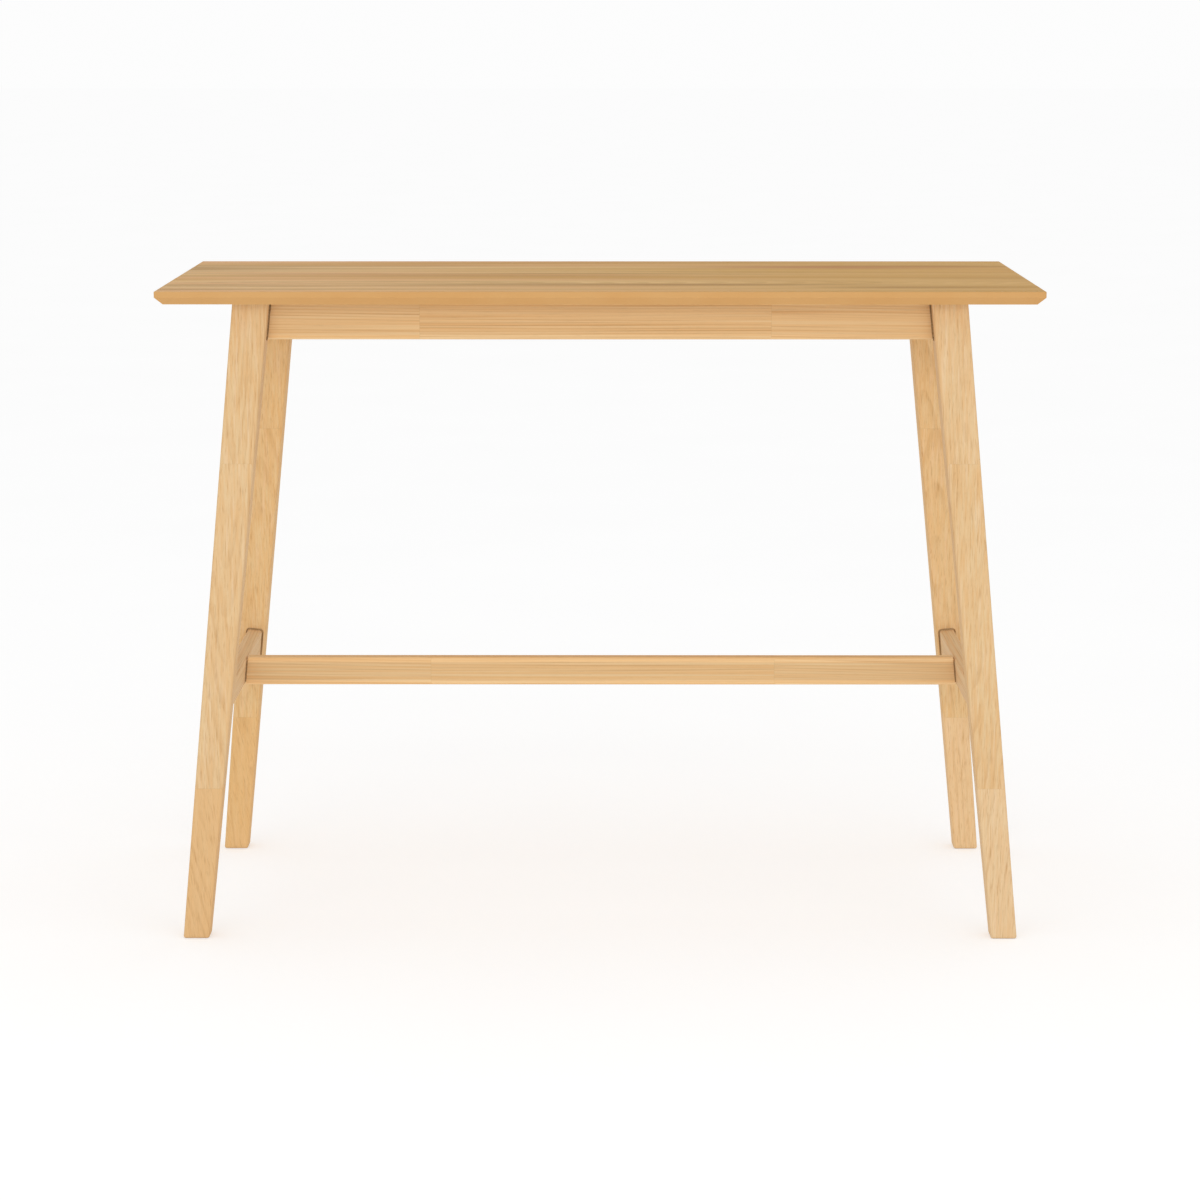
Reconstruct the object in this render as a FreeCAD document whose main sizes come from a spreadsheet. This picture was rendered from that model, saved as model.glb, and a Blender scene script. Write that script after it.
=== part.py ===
"""High table: a veneered board on four tapered, splayed legs with an H-shaped foot rail.

Millimetres. Origin on the floor under the middle of the top, +X along the length, +Y to the back, +Z up.
The table is symmetric about X and Y, so each piece that repeats is modelled once in the +X +Y quarter
(the back right one) and mirrored into its other places.
"""
import FreeCAD, Part
import math
import os
import Sketcher

doc = FreeCAD.newDocument("HighTable")

# ---------------------------------------------------------------- driving dimensions

DIMENSIONS = {
    # overall
    "table_length": 1400,
    "table_width": 650,
    "table_height": 1050,
    # board top
    "top_thickness": 21,
    "veneer_thickness": 0.6,
    "bevel_drop": 12,
    "bevel_run": 12.5,
    "top_corner_radius": 3,
    "top_edge_radius": 1.2,
    # legs: square in plan, larger at the head, centred on these points at floor and head level
    "foot_size": 42,
    "foot_centre_x": 655.5,
    "foot_centre_y": 297,
    "head_size": 58,
    "head_centre_x": 556,
    "head_centre_y": 225,
    "leg_edge_radius": 4.5,
    "foot_edge_radius": 3,
    # rails
    "rail_offset": 5,
    "rail_edge_radius": 3.5,
    "apron_thickness": 20,
    "apron_height": 63,
    "stretcher_thickness": 25,
    "stretcher_height": 47,
    "stretcher_centre_z": 382.5,
    # rail ends: a gap in front of the shoulder, then a thinner neck that sits in a housing
    "shoulder_gap": 2.5,
    "neck_inset": 4,
    "neck_fit": 0.5,
    "housing_depth": 5,
    "apron_housing_clearance": 2.5,
    "stretcher_housing_clearance": 2.8,
    # dowels
    "dowel_radius": 4,
    "dowel_length": 30,
    "dowel_in_leg": 12,
    "dowel_chamfer": 0.8,
    "apron_dowel_spread": 16,
    "stretcher_dowel_spread": 13,
    "drill_overrun": 1,
    # corner blocks, square to the corner diagonal: face positions are x + y
    "block_leg_face": 740.8,
    "block_thickness": 30,
    "block_height": 50,
    "leg_flat_height": 59,
    # hanger bolts
    "hanger_radius": 4,
    "hanger_length": 85,
    "hanger_in_leg": 40,
    "washer_radius": 9,
    "washer_thickness": 1.6,
    "nut_across_corners": 15,
    "nut_thickness": 6.5,
    # wood screws
    "screw_radius": 2,
    "screw_head_radius": 4,
    "screw_head_height": 2.4,
    "screw_head_flat": 2.8,
    "screw_head_rim": 0.8,
    "screw_length": 25,
    "screw_in_block": 10,
    "screw_spread": 18,
    "screw_setback": 26,
    "top_screw_length": 30,
    "top_screw_entry": 20,
    "top_screw_offset": 14,
    # centre brace
    "brace_width": 70,
    "brace_thickness": 20,
    "brace_dowel_spread": 20,
    "brace_screw_x": 20,
    "brace_screw_y": 130,
    # foot rail bolt
    "rail_bolt_radius": 3,
    "rail_bolt_length": 60,
    "rail_bolt_head_radius": 8.5,
    "rail_bolt_head_height": 3,
    "rail_bolt_head_ease": 1,
    "rail_bolt_recess": 5,
    "barrel_radius": 5,
    "barrel_length": 14,
    "barrel_reach": 46,
    # glides
    "glide_radius": 11,
    "glide_thickness": 3,
    "glide_proud": 0.5,
    "glide_pin_radius": 2.5,
    "glide_pin_length": 12,
}

sheet = doc.addObject("Spreadsheet::Sheet", "Dim")
for row, (alias, value) in enumerate(DIMENSIONS.items(), start=1):
    sheet.set(f"A{row}", alias)
    sheet.set(f"B{row}", str(value))
    sheet.setAlias(f"B{row}", alias)
doc.recompute()

# ---------------------------------------------------------------- formulas over the sheet
# Each of these is the text of a FreeCAD expression, or a function that returns one.

LEG_TOP = "(Dim.table_height - Dim.top_thickness)"
LEAN_X = f"((Dim.foot_centre_x - Dim.head_centre_x) / {LEG_TOP})"
LEAN_Y = f"((Dim.foot_centre_y - Dim.head_centre_y) / {LEG_TOP})"
TAPER = f"((Dim.head_size - Dim.foot_size) / 2 / {LEG_TOP})"
SIDE_LEAN = f"atan({LEAN_X})"

APRON_BOTTOM = f"({LEG_TOP} - Dim.apron_height)"
APRON_MIDDLE = f"({LEG_TOP} - Dim.apron_height / 2)"
STRETCHER_TOP = "(Dim.stretcher_centre_z + Dim.stretcher_height / 2)"
BRACE_MIDDLE = f"({LEG_TOP} - Dim.brace_thickness / 2)"
BLOCK_BOTTOM = f"({LEG_TOP} - Dim.block_height)"
BLOCK_INNER_FACE = "(Dim.block_leg_face - Dim.block_thickness * sqrt(2))"
BEYOND = "(2 * Dim.table_length)"

UPRIGHT = "rotation(vector(0; 0; 1); 0)"
ALONG_X = "rotation(vector(0; 1; 0); 90)"
ALONG_Y = "rotation(vector(-1; 0; 0); 90)"
ALONG_DIAGONAL = "rotation(vector(-1; 1; 0); 90)"


def leg_centre_x(z):
    return f"(Dim.foot_centre_x - {LEAN_X} * ({z}))"


def leg_centre_y(z):
    return f"(Dim.foot_centre_y - {LEAN_Y} * ({z}))"


def leg_half(z):
    return f"(Dim.foot_size / 2 + {TAPER} * ({z}))"


def leg_inner_x(z):
    return f"({leg_centre_x(z)} - {leg_half(z)})"


def leg_inner_y(z):
    return f"({leg_centre_y(z)} - {leg_half(z)})"


def side_rail_x(z):
    """Middle of the side apron and side stretcher, which lean with the side frame."""
    return f"({leg_centre_x(z)} - Dim.rail_offset)"


def side_stretcher_inner_x(z):
    return f"({side_rail_x(z)} - Dim.stretcher_thickness / 2 / cos({SIDE_LEAN}))"


def side_stretcher_outer_x(z):
    return f"({side_rail_x(z)} + Dim.stretcher_thickness / 2 / cos({SIDE_LEAN}))"


def side_apron_inner_x(z):
    return f"({side_rail_x(z)} - Dim.apron_thickness / 2 / cos({SIDE_LEAN}))"


LONG_APRON_Y = f"({leg_centre_y(APRON_MIDDLE)} - Dim.rail_offset)"
LONG_APRON_INNER_Y = f"({LONG_APRON_Y} - Dim.apron_thickness / 2)"


def shifted(line, distance):
    """The same line over z, moved by a distance away from the middle of the table."""
    return lambda z: f"({line(z)} + ({distance}))"


# ---------------------------------------------------------------- sketch and feature helpers


def origin_plane(body, role):
    return next(item for item in body.Origin.OriginFeatures if item.Role == role)


def new_body(name):
    return doc.addObject("PartDesign::Body", name)


def new_sketch(body, plane, offset=None):
    """An empty sketch on one of the body's own origin planes, moved in it by an expression."""
    sketch = body.newObject("Sketcher::SketchObject", f"{body.Name}_sketch")
    sketch.AttachmentSupport = (origin_plane(body, plane), [""])
    sketch.MapMode = "FlatFace"
    if offset:
        sketch.setExpression("AttachmentOffset", offset)
    return sketch


def bind(sketch, kind, name, expression, *where):
    """Add one named dimension to a sketch and bind it to an expression."""
    value = float(sketch.evalExpression(expression))
    index = sketch.addConstraint(Sketcher.Constraint(kind, *where, value))
    sketch.renameConstraint(index, name)
    sketch.setExpression(f".Constraints.{name}", expression)


def draw_polygon(sketch, corners):
    """A closed polygon whose corners are pairs of expressions."""
    points = [
        FreeCAD.Vector(float(sketch.evalExpression(u)), float(sketch.evalExpression(v)), 0)
        for u, v in corners
    ]
    first = sketch.GeometryCount
    last = len(corners) - 1
    for index, start in enumerate(points):
        end = points[0 if index == last else index + 1]
        sketch.addGeometry(Part.LineSegment(start, end))
    for index, (u, v) in enumerate(corners):
        line = first + index
        following = first if index == last else line + 1
        sketch.addConstraint(Sketcher.Constraint("Coincident", line, 2, following, 1))
        bind(sketch, "DistanceX", f"u{line}", u, -1, 1, line, 1)
        bind(sketch, "DistanceY", f"v{line}", v, -1, 1, line, 1)


def draw_rounded_rectangle(sketch, width, height, radius):
    """A rectangle centred on the sketch's origin, with equal rounded corners."""
    w = float(sketch.evalExpression(width)) / 2
    h = float(sketch.evalExpression(height)) / 2
    r = float(sketch.evalExpression(radius))
    centres = [(w - r, r - h), (w - r, h - r), (r - w, h - r), (r - w, r - h)]
    for quarter, (u, v) in enumerate(centres):
        start = (quarter - 1) * math.pi / 2
        circle = Part.Circle(FreeCAD.Vector(u, v, 0), FreeCAD.Vector(0, 0, 1), r)
        sketch.addGeometry(Part.ArcOfCircle(circle, start, start + math.pi / 2))
    for quarter in range(4):
        here = sketch.getPoint(quarter, 2)
        there = sketch.getPoint((quarter + 1) % 4, 1)
        sketch.addGeometry(Part.LineSegment(here, there))
    for quarter in range(4):
        line = 4 + quarter
        sketch.addConstraint(Sketcher.Constraint("Tangent", quarter, 2, line, 1))
        sketch.addConstraint(Sketcher.Constraint("Tangent", line, 2, (quarter + 1) % 4, 1))
        direction = "Vertical" if quarter % 2 == 0 else "Horizontal"
        sketch.addConstraint(Sketcher.Constraint(direction, line))
    for quarter in range(1, 4):
        sketch.addConstraint(Sketcher.Constraint("Equal", 0, quarter))
    sketch.addConstraint(Sketcher.Constraint("Symmetric", 0, 3, 2, 3, -1, 1))
    bind(sketch, "Radius", "radius", radius, 0)
    bind(sketch, "DistanceX", "width", width, 6, 1, 4, 1)
    bind(sketch, "DistanceY", "height", height, 7, 1, 5, 1)


def add_pad(body, sketch, length, both_ways=False, reverse=False):
    pad = body.newObject("PartDesign::Pad", f"{body.Name}_pad")
    pad.Profile = sketch
    pad.SideType = "Symmetric" if both_ways else "One side"
    pad.Reversed = reverse
    pad.setExpression("Length", length)
    return pad


def add_pocket(body, sketch, length):
    """Cut the sketch's outline out of the body, to half the length on each side of the sketch."""
    doc.recompute()
    before = body.Shape.Volume
    pocket = body.newObject("PartDesign::Pocket", f"{body.Name}_pocket")
    pocket.Profile = sketch
    pocket.SideType = "Symmetric"
    pocket.setExpression("Length", length)
    doc.recompute()
    if not body.Shape.Volume < before:
        raise RuntimeError(f"{pocket.Name} removes nothing")
    return pocket


def dress_edges(body, kind, wanted, **sizes):
    """Fillet or chamfer the edges of the body's tip that the test picks."""
    doc.recompute()
    tip = body.Tip
    names = [f"Edge{index}" for index, edge in enumerate(tip.Shape.Edges, start=1) if wanted(edge)]
    if not names:
        raise RuntimeError(f"{body.Name}: no edge to dress")
    feature = body.newObject(kind, f"{body.Name}_edges")
    feature.Base = (tip, names)
    for prop, expression in sizes.items():
        feature.setExpression(prop, expression)
    return feature


def turned(name, profile, position, direction=UPRIGHT):
    """A body of revolution about its own Z axis, from (radius, height) corners, then placed."""
    body = new_body(name)
    sketch = new_sketch(body, "XZ_Plane")
    draw_polygon(sketch, profile)
    revolution = body.newObject("PartDesign::Revolution", f"{name}_turn")
    revolution.Profile = sketch
    revolution.ReferenceAxis = (sketch, ["V_Axis"])
    revolution.Angle = 360
    body.setExpression("Placement", f"placement(vector({position}); {direction})")
    return body


def drill(name, radius, length, position, direction=UPRIGHT):
    """A cylinder used only to cut a round hole or recess."""
    tool = doc.addObject("Part::Cylinder", name)
    tool.setExpression("Radius", radius)
    tool.setExpression("Height", length)
    tool.setExpression("Placement", f"placement(vector({position}); {direction})")
    return tool


def cut(name, base, tools):
    """The base with all the tools taken out of it."""
    tool = tools[0]
    if len(tools) > 1:
        tool = doc.addObject("Part::MultiFuse", f"{name}_tools")
        tool.Shapes = tools
    result = doc.addObject("Part::Cut", name)
    result.Base = base
    result.Tool = tool
    return result


def mirrored(name, source, *axes):
    """The source mirrored through the table's middle planes that cross the given axes."""
    normals = {"x": FreeCAD.Vector(1, 0, 0), "y": FreeCAD.Vector(0, 1, 0)}
    result = source
    for step, axis in enumerate(axes, start=1):
        is_last = step == len(axes)
        mirror = doc.addObject("Part::Mirroring", name if is_last else f"{name}_halfway")
        mirror.Source = result
        mirror.Normal = normals[axis]
        result = mirror
    return result


def group(name, pieces):
    """Separate solids that share one node."""
    compound = doc.addObject("Part::Compound", name)
    compound.Links = pieces
    return compound


def both_ends(name, pieces):
    """The pieces and their mirror images at the other end of the table."""
    images = [mirrored(f"{piece.Name}_other_end", piece, "x") for piece in pieces]
    return group(name, pieces + images)


def both_sides(name, pieces):
    """The pieces and their mirror images at the other side of the table."""
    images = [mirrored(f"{piece.Name}_other_side", piece, "y") for piece in pieces]
    return group(name, pieces + images)


def four_corners(name, pieces):
    """The pieces of one corner and their mirror images at the other three."""
    images = []
    for piece in pieces:
        images.append(mirrored(f"{piece.Name}_left", piece, "x"))
        images.append(mirrored(f"{piece.Name}_front", piece, "y"))
        images.append(mirrored(f"{piece.Name}_front_left", piece, "x", "y"))
    return group(name, pieces + images)


node_names = []


def node(name, thing):
    """Mark an object as a sub-part of the table: its Label names its file."""
    thing.Label = name
    node_names.append(name)
    return thing


# ---------------------------------------------------------------- rails

NECK_RADIUS = "(Dim.rail_edge_radius / 2)"


def add_bar(body, along, across, up, lean, thickness, height, radius, reach, ceiling):
    """Add a straight bar to a body.

    It runs along X or Y, symmetric about the table's middle. across and up place the middle of its
    section, which leans by an angle. reach(z) is where its ends are trimmed, and ceiling is the height
    above which it is trimmed flat.
    """
    section_plane, trim_plane = ("YZ_Plane", "XZ_Plane") if along == "x" else ("XZ_Plane", "YZ_Plane")
    offset = f"placement(vector({across}; {up}; 0); rotation(vector(0; 0; 1); {lean}))"
    section = new_sketch(body, section_plane, offset)
    draw_rounded_rectangle(section, thickness, height, radius)
    add_pad(body, section, BEYOND, both_ways=True)
    floor = f"({up} - ({height}))"
    sky = f"({ceiling} + ({height}))"
    right = [(reach(floor), floor), (BEYOND, floor), (BEYOND, sky)]
    left = [(f"-{BEYOND}", sky), (f"-{BEYOND}", floor), (f"-{reach(floor)}", floor)]
    roof = [(f"-{reach(ceiling)}", ceiling), (reach(ceiling), ceiling)]
    trim = new_sketch(body, trim_plane)
    draw_polygon(trim, right + left + roof)
    add_pocket(body, trim, BEYOND)


def make_rail(name, along, across, up, lean, thickness, height, face, ceiling):
    """A rail between two faces: its shoulders stop short of them, and its necks reach the housings."""
    body = new_body(name)
    inset = "2 * Dim.neck_inset"
    shoulder = shifted(face, "-Dim.shoulder_gap")
    seat = shifted(face, "Dim.housing_depth")
    add_bar(body, along, across, up, lean, thickness, height, "Dim.rail_edge_radius", shoulder, ceiling)
    neck = (f"{thickness} - {inset}", f"{height} - {inset}", NECK_RADIUS)
    add_bar(body, along, across, up, lean, *neck, seat, ceiling)
    return body


def make_housing(name, growth, radius, along, across, up, lean, thickness, height, face, ceiling):
    """The bar that cuts a rail's two housings: the rail's section grown by a distance all round."""
    body = new_body(name)
    seat = shifted(face, "Dim.housing_depth")
    add_bar(body, along, across, up, lean, f"{thickness} + 2 * ({growth})", f"{height} + 2 * ({growth})",
            radius, seat, ceiling)
    return body


def open_housing(name, clearance, *rail):
    """A housing that clears the whole rail, so that an open line runs round the rail's end."""
    return make_housing(name, clearance, f"Dim.rail_edge_radius + {clearance}", *rail)


def snug_housing(name, *rail):
    """A housing that only takes the rail's neck."""
    return make_housing(name, "Dim.neck_fit - Dim.neck_inset", f"{NECK_RADIUS} + Dim.neck_fit", *rail)


# An apron's section starts this much taller, and is trimmed flat under the top.
APRON_SECTION = "(Dim.apron_height + 4 * Dim.rail_edge_radius)"
APRON_SECTION_MIDDLE = f"({APRON_BOTTOM} + {APRON_SECTION} / 2)"
ABOVE_TOP = "(Dim.table_height + Dim.apron_height)"
NO_LEAN = "0 * 1deg"

LONG_APRON = ("x", LONG_APRON_Y, APRON_SECTION_MIDDLE, NO_LEAN,
              "Dim.apron_thickness", APRON_SECTION, leg_inner_x)
SIDE_APRON = ("y", side_rail_x(APRON_SECTION_MIDDLE), APRON_SECTION_MIDDLE, SIDE_LEAN,
              "Dim.apron_thickness", APRON_SECTION, leg_inner_y)
SIDE_STRETCHER = ("y", side_rail_x("Dim.stretcher_centre_z"), "Dim.stretcher_centre_z", SIDE_LEAN,
                  "Dim.stretcher_thickness", "Dim.stretcher_height", leg_inner_y)
FOOT_RAIL = ("x", "0", "Dim.stretcher_centre_z", NO_LEAN,
             "Dim.stretcher_thickness", "Dim.stretcher_height", side_stretcher_inner_x)
ABOVE_STRETCHER = "(Dim.stretcher_centre_z + Dim.stretcher_height)"

# ---------------------------------------------------------------- dowels


def dowel_heights(middle, spread):
    return {"low": f"({middle} - {spread})", "high": f"({middle} + {spread})"}


APRON_DOWELS = dowel_heights(APRON_MIDDLE, "Dim.apron_dowel_spread")
STRETCHER_DOWELS = dowel_heights("Dim.stretcher_centre_z", "Dim.stretcher_dowel_spread")

DOWEL_PROFILE = [
    ("0", "0"),
    ("Dim.dowel_radius - Dim.dowel_chamfer", "0"),
    ("Dim.dowel_radius", "Dim.dowel_chamfer"),
    ("Dim.dowel_radius", "Dim.dowel_length - Dim.dowel_chamfer"),
    ("Dim.dowel_radius - Dim.dowel_chamfer", "Dim.dowel_length"),
    ("0", "Dim.dowel_length"),
]


def make_dowel(name, along, seat, other, z):
    """A dowel across a joint and the drill for its hole. seat is where the two pieces meet."""
    start = f"({seat} - Dim.dowel_length + Dim.dowel_in_leg)"
    hole_start = f"({start} - Dim.drill_overrun)"
    direction = ALONG_X if along == "x" else ALONG_Y

    def place(first):
        return f"{first}; {other}; {z}" if along == "x" else f"{other}; {first}; {z}"

    dowel = turned(name, DOWEL_PROFILE, place(start), direction)
    hole = drill(f"{name}_hole", "Dim.dowel_radius", "Dim.dowel_length + 2 * Dim.drill_overrun",
                 place(hole_start), direction)
    return dowel, hole


def make_joint_dowels(name, along, face, other, heights):
    """The dowels of one rail end, one per height: lists of dowels and of drills."""
    seat = shifted(face, "Dim.housing_depth")
    pairs = [
        make_dowel(f"{name}_{level}", along, seat(z), other(z), z) for level, z in heights.items()
    ]
    return [dowel for dowel, _ in pairs], [hole for _, hole in pairs]


long_apron_dowels, long_apron_holes = make_joint_dowels(
    "long_apron_dowel", "x", leg_inner_x, lambda z: LONG_APRON_Y, APRON_DOWELS)
side_apron_dowels, side_apron_holes = make_joint_dowels(
    "side_apron_dowel", "y", leg_inner_y, side_rail_x, APRON_DOWELS)
stretcher_dowels, stretcher_holes = make_joint_dowels(
    "stretcher_dowel", "y", leg_inner_y, side_rail_x, STRETCHER_DOWELS)
rail_dowels, rail_holes = make_joint_dowels(
    "rail_dowel", "x", side_stretcher_inner_x, lambda z: "0", STRETCHER_DOWELS)

brace_dowels = []
brace_holes = []
for side, sign in (("right", ""), ("left", "-")):
    peg, peg_hole = make_dowel(
        f"brace_dowel_{side}", "y", LONG_APRON_INNER_Y, f"{sign}Dim.brace_dowel_spread", BRACE_MIDDLE)
    brace_dowels.append(peg)
    brace_holes.append(peg_hole)

node("apron_dowels", four_corners("apron_dowels", long_apron_dowels + side_apron_dowels))
node("side_stretcher_dowels", four_corners("side_stretcher_dowels", stretcher_dowels))
node("foot_rail_dowels", both_ends("foot_rail_dowels", rail_dowels))
node("brace_dowels", both_sides("brace_dowels", brace_dowels))

# ---------------------------------------------------------------- hanger bolts

# The bolt runs along the corner's diagonal, through the middle of the leg's head.
BOLT_Z = APRON_MIDDLE
BOLT_SKEW = f"({leg_centre_x(BOLT_Z)} - {leg_centre_y(BOLT_Z)})"


def on_bolt(diagonal):
    """The point of the bolt's axis where x + y has the given value."""
    return f"(({diagonal}) + {BOLT_SKEW}) / 2; (({diagonal}) - {BOLT_SKEW}) / 2; {BOLT_Z}"


BOLT_START = "(Dim.block_leg_face - (Dim.hanger_length - Dim.hanger_in_leg) * sqrt(2))"
NUT_START = f"({BLOCK_INNER_FACE} - (Dim.washer_thickness + Dim.nut_thickness) * sqrt(2))"
WASHER_START = f"({BLOCK_INNER_FACE} - Dim.washer_thickness * sqrt(2))"

hanger_bolt = turned(
    "hanger_bolt",
    [
        ("0", "0"),
        ("Dim.hanger_radius - Dim.dowel_chamfer", "0"),
        ("Dim.hanger_radius", "Dim.dowel_chamfer"),
        ("Dim.hanger_radius", "Dim.hanger_length - 2 * Dim.hanger_radius"),
        ("0", "Dim.hanger_length"),
    ],
    on_bolt(BOLT_START),
    ALONG_DIAGONAL,
)
hanger_hole = drill("hanger_hole", "Dim.hanger_radius", "Dim.hanger_length + Dim.drill_overrun",
                    on_bolt(BOLT_START), ALONG_DIAGONAL)
hanger_washer = turned(
    "hanger_washer",
    [
        ("Dim.hanger_radius", "0"),
        ("Dim.washer_radius", "0"),
        ("Dim.washer_radius", "Dim.washer_thickness"),
        ("Dim.hanger_radius", "Dim.washer_thickness"),
    ],
    on_bolt(WASHER_START),
    ALONG_DIAGONAL,
)
nut_blank = doc.addObject("Part::Prism", "nut_blank")
nut_blank.Polygon = 6
nut_blank.setExpression("Circumradius", "Dim.nut_across_corners / 2")
nut_blank.setExpression("Height", "Dim.nut_thickness")
nut_blank.setExpression("Placement", f"placement(vector({on_bolt(NUT_START)}); {ALONG_DIAGONAL})")
hanger_nut = cut("hanger_nut", nut_blank, [hanger_hole])

node("hanger_bolts", four_corners("hanger_bolts", [hanger_bolt]))
node("hanger_washers", four_corners("hanger_washers", [hanger_washer]))
node("hanger_nuts", four_corners("hanger_nuts", [hanger_nut]))

# ---------------------------------------------------------------- wood screws


def pan_head_profile(length):
    """A screw with a domed head, from the head's crown down to a pointed tip."""
    return [
        ("0", "-Dim.screw_head_height"),
        ("Dim.screw_head_flat", "-Dim.screw_head_height"),
        ("Dim.screw_head_radius", "-Dim.screw_head_rim"),
        ("Dim.screw_head_radius", "0"),
        ("Dim.screw_radius", "0"),
        ("Dim.screw_radius", f"{length} - 2 * Dim.screw_radius"),
        ("0", length),
    ]


def make_screw(name, length, position, direction, opening):
    """A screw whose head bears at a point, its hole, and the clearance that lets the head in."""
    screw = turned(name, pan_head_profile(length), position, direction)
    hole = drill(f"{name}_hole", "Dim.screw_radius", length, position, direction)
    entry = drill(f"{name}_entry", "Dim.screw_head_radius + Dim.drill_overrun", opening, position,
                  direction)
    back_off = f"placement(vector(0; 0; -({opening})); {UPRIGHT})"
    entry.setExpression("Placement", f"placement(vector({position}); {direction}) * {back_off}")
    return screw, hole, entry


# Two screws per apron and block, above and below the hanger bolt, square to the apron.
SCREW_CLEARANCE = "Dim.block_thickness"
SCREW_HEIGHTS = dowel_heights(APRON_MIDDLE, "Dim.screw_spread")
block_screws = []
block_screw_tools = []
long_apron_screw_holes = []
side_apron_screw_holes = []
for level, height in SCREW_HEIGHTS.items():
    long_position = (f"Dim.block_leg_face - {LONG_APRON_INNER_Y} - Dim.screw_setback; "
                     f"{LONG_APRON_INNER_Y} - Dim.screw_in_block; {height}")
    side_position = (f"{side_apron_inner_x(height)} - Dim.screw_in_block; "
                     f"Dim.block_leg_face - {side_apron_inner_x(height)} - Dim.screw_setback; {height}")
    screw, hole, entry = make_screw(f"long_block_screw_{level}", "Dim.screw_length", long_position,
                                    ALONG_Y, SCREW_CLEARANCE)
    block_screws.append(screw)
    block_screw_tools += [hole, entry]
    long_apron_screw_holes.append(hole)
    screw, hole, entry = make_screw(f"side_block_screw_{level}", "Dim.screw_length", side_position,
                                    ALONG_X, SCREW_CLEARANCE)
    block_screws.append(screw)
    block_screw_tools += [hole, entry]
    side_apron_screw_holes.append(hole)

# One screw per block and four in the brace, up into the top.
SCREW_SEAT_Z = f"({LEG_TOP} - Dim.top_screw_entry)"
BLOCK_MIDDLE = f"((Dim.block_leg_face + {BLOCK_INNER_FACE}) / 2)"
top_position = (f"({BLOCK_MIDDLE} + {BOLT_SKEW}) / 2 + Dim.top_screw_offset / sqrt(2); "
                f"({BLOCK_MIDDLE} - {BOLT_SKEW}) / 2 - Dim.top_screw_offset / sqrt(2); {SCREW_SEAT_Z}")
block_top_screw, block_top_hole, block_top_entry = make_screw(
    "block_top_screw", "Dim.top_screw_length", top_position, UPRIGHT, "Dim.block_height")
brace_position = f"Dim.brace_screw_x; Dim.brace_screw_y; {SCREW_SEAT_Z}"
brace_screw, brace_hole, _ = make_screw(
    "brace_screw", "Dim.top_screw_length", brace_position, UPRIGHT, "Dim.screw_head_height")

node("corner_block_screws", four_corners("corner_block_screws", block_screws))
node("top_fixing_screws", four_corners("top_fixing_screws", [block_top_screw, brace_screw]))
top_screw_holes = four_corners("top_screw_holes", [block_top_hole, brace_hole])

# ---------------------------------------------------------------- foot rail bolts

BOLT_SEAT_X = f"({side_stretcher_outer_x('Dim.stretcher_centre_z')} - Dim.rail_bolt_recess)"
BOLT_END_X = f"({BOLT_SEAT_X} - Dim.rail_bolt_length)"
BARREL_X = f"({BOLT_SEAT_X} - Dim.barrel_reach)"
BARREL_START_Z = "(Dim.stretcher_centre_z - Dim.barrel_length / 2)"
RAIL_UNDERSIDE = "(Dim.stretcher_centre_z - Dim.stretcher_height / 2 - Dim.drill_overrun)"

rail_bolt = turned(
    "rail_bolt",
    [
        ("0", "0"),
        ("Dim.rail_bolt_radius", "0"),
        ("Dim.rail_bolt_radius", "Dim.rail_bolt_length"),
        ("Dim.rail_bolt_head_radius", "Dim.rail_bolt_length"),
        ("Dim.rail_bolt_head_radius", "Dim.rail_bolt_length + Dim.rail_bolt_head_height / 2"),
        ("Dim.rail_bolt_head_radius - Dim.rail_bolt_head_ease",
         "Dim.rail_bolt_length + Dim.rail_bolt_head_height"),
        ("0", "Dim.rail_bolt_length + Dim.rail_bolt_head_height"),
    ],
    f"{BOLT_END_X}; 0; Dim.stretcher_centre_z",
    ALONG_X,
)
rail_bolt_hole = drill("rail_bolt_hole", "Dim.rail_bolt_radius",
                       "Dim.rail_bolt_length + Dim.drill_overrun",
                       f"{BOLT_END_X} - Dim.drill_overrun; 0; Dim.stretcher_centre_z", ALONG_X)
rail_bolt_recess = drill("rail_bolt_recess", "Dim.rail_bolt_head_radius + Dim.drill_overrun / 2",
                         "2 * Dim.rail_bolt_recess", f"{BOLT_SEAT_X}; 0; Dim.stretcher_centre_z", ALONG_X)
barrel_blank = drill("barrel_blank", "Dim.barrel_radius", "Dim.barrel_length",
                     f"{BARREL_X}; 0; {BARREL_START_Z}")
barrel_hole = drill("barrel_hole", "Dim.barrel_radius",
                    f"{BARREL_START_Z} + Dim.barrel_length - {RAIL_UNDERSIDE}",
                    f"{BARREL_X}; 0; {RAIL_UNDERSIDE}")
barrel_nut = cut("barrel_nut", barrel_blank, [rail_bolt_hole])

node("foot_rail_bolts", both_ends("foot_rail_bolts", [rail_bolt]))
node("foot_rail_barrel_nuts", both_ends("foot_rail_barrel_nuts", [barrel_nut]))

# ---------------------------------------------------------------- aprons and stretchers

back_apron_body = make_rail("back_apron_body", *LONG_APRON, LEG_TOP)
back_apron = node("back_apron", cut("back_apron", back_apron_body, [
    both_ends("back_apron_holes", long_apron_holes + long_apron_screw_holes + brace_holes[:1]),
]))
node("front_apron", mirrored("front_apron", back_apron, "y"))

right_apron_body = make_rail("right_apron_body", *SIDE_APRON, LEG_TOP)
right_apron = node("right_apron", cut("right_apron", right_apron_body, [
    both_sides("right_apron_holes", side_apron_holes + side_apron_screw_holes),
]))
node("left_apron", mirrored("left_apron", right_apron, "x"))

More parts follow.
